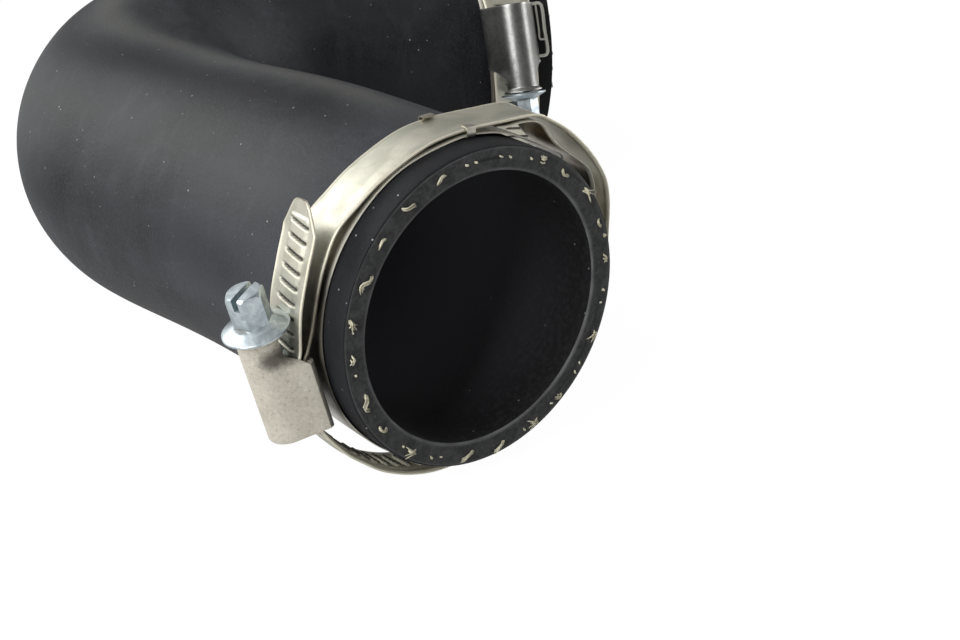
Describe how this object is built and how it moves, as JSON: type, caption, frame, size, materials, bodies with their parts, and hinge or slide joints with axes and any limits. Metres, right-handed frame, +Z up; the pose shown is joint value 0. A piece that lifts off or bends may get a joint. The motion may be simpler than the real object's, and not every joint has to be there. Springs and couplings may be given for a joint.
{
  "type": "air intake hose",
  "caption": "Moulded rubber air intake elbow, round in section, with a loose worm-drive clamp left on each end.",
  "frame": {"origin": "bottom centre of the bounding box, on the plane that the part rests on", "axes": "+Z up from the resting plane; +Y along the longer leg, from the front mouth towards the bend, so the front mouth faces -Y; the rear mouth faces +X, turned about 22 degrees towards -Y"},
  "size_m": [0.18, 0.1978, 0.0665],
  "materials": {
    "rubber": "matte moulded rubber with a faint sheen",
    "band_steel": "bright rolled sheet steel",
    "housing_steel": "dull plated pressed steel",
    "screw_zinc": "bluish zinc plating, satin",
    "liner_steel": "thin bright spring steel",
    "yarn": "pale cut yarn ends, matte"
  },
  "bodies": {
    "hose_and_clamps": {"hose": "rubber", "front_band": "band_steel", "front_housing": "housing_steel", "front_liner": "liner_steel", "rear_band": "band_steel", "rear_housing": "housing_steel", "rear_liner": "liner_steel"},
    "front_screw": {"front_screw": "screw_zinc"},
    "rear_screw": {"rear_screw": "screw_zinc"}
  },
  "joints": [
    {"name": "front_screw_turn", "type": "hinge", "parent": "hose_and_clamps", "child": "front_screw", "pos_m": [-0.08129, -0.08715, 0.02441], "axis": [-0.2111, -0.0375, 0.9768], "continuous": true},
    {"name": "rear_screw_turn", "type": "hinge", "parent": "hose_and_clamps", "child": "rear_screw", "pos_m": [0.05392, 0.01406, 0.04204], "axis": [-0.087, -0.2557, -0.9628], "continuous": true}
  ]
}
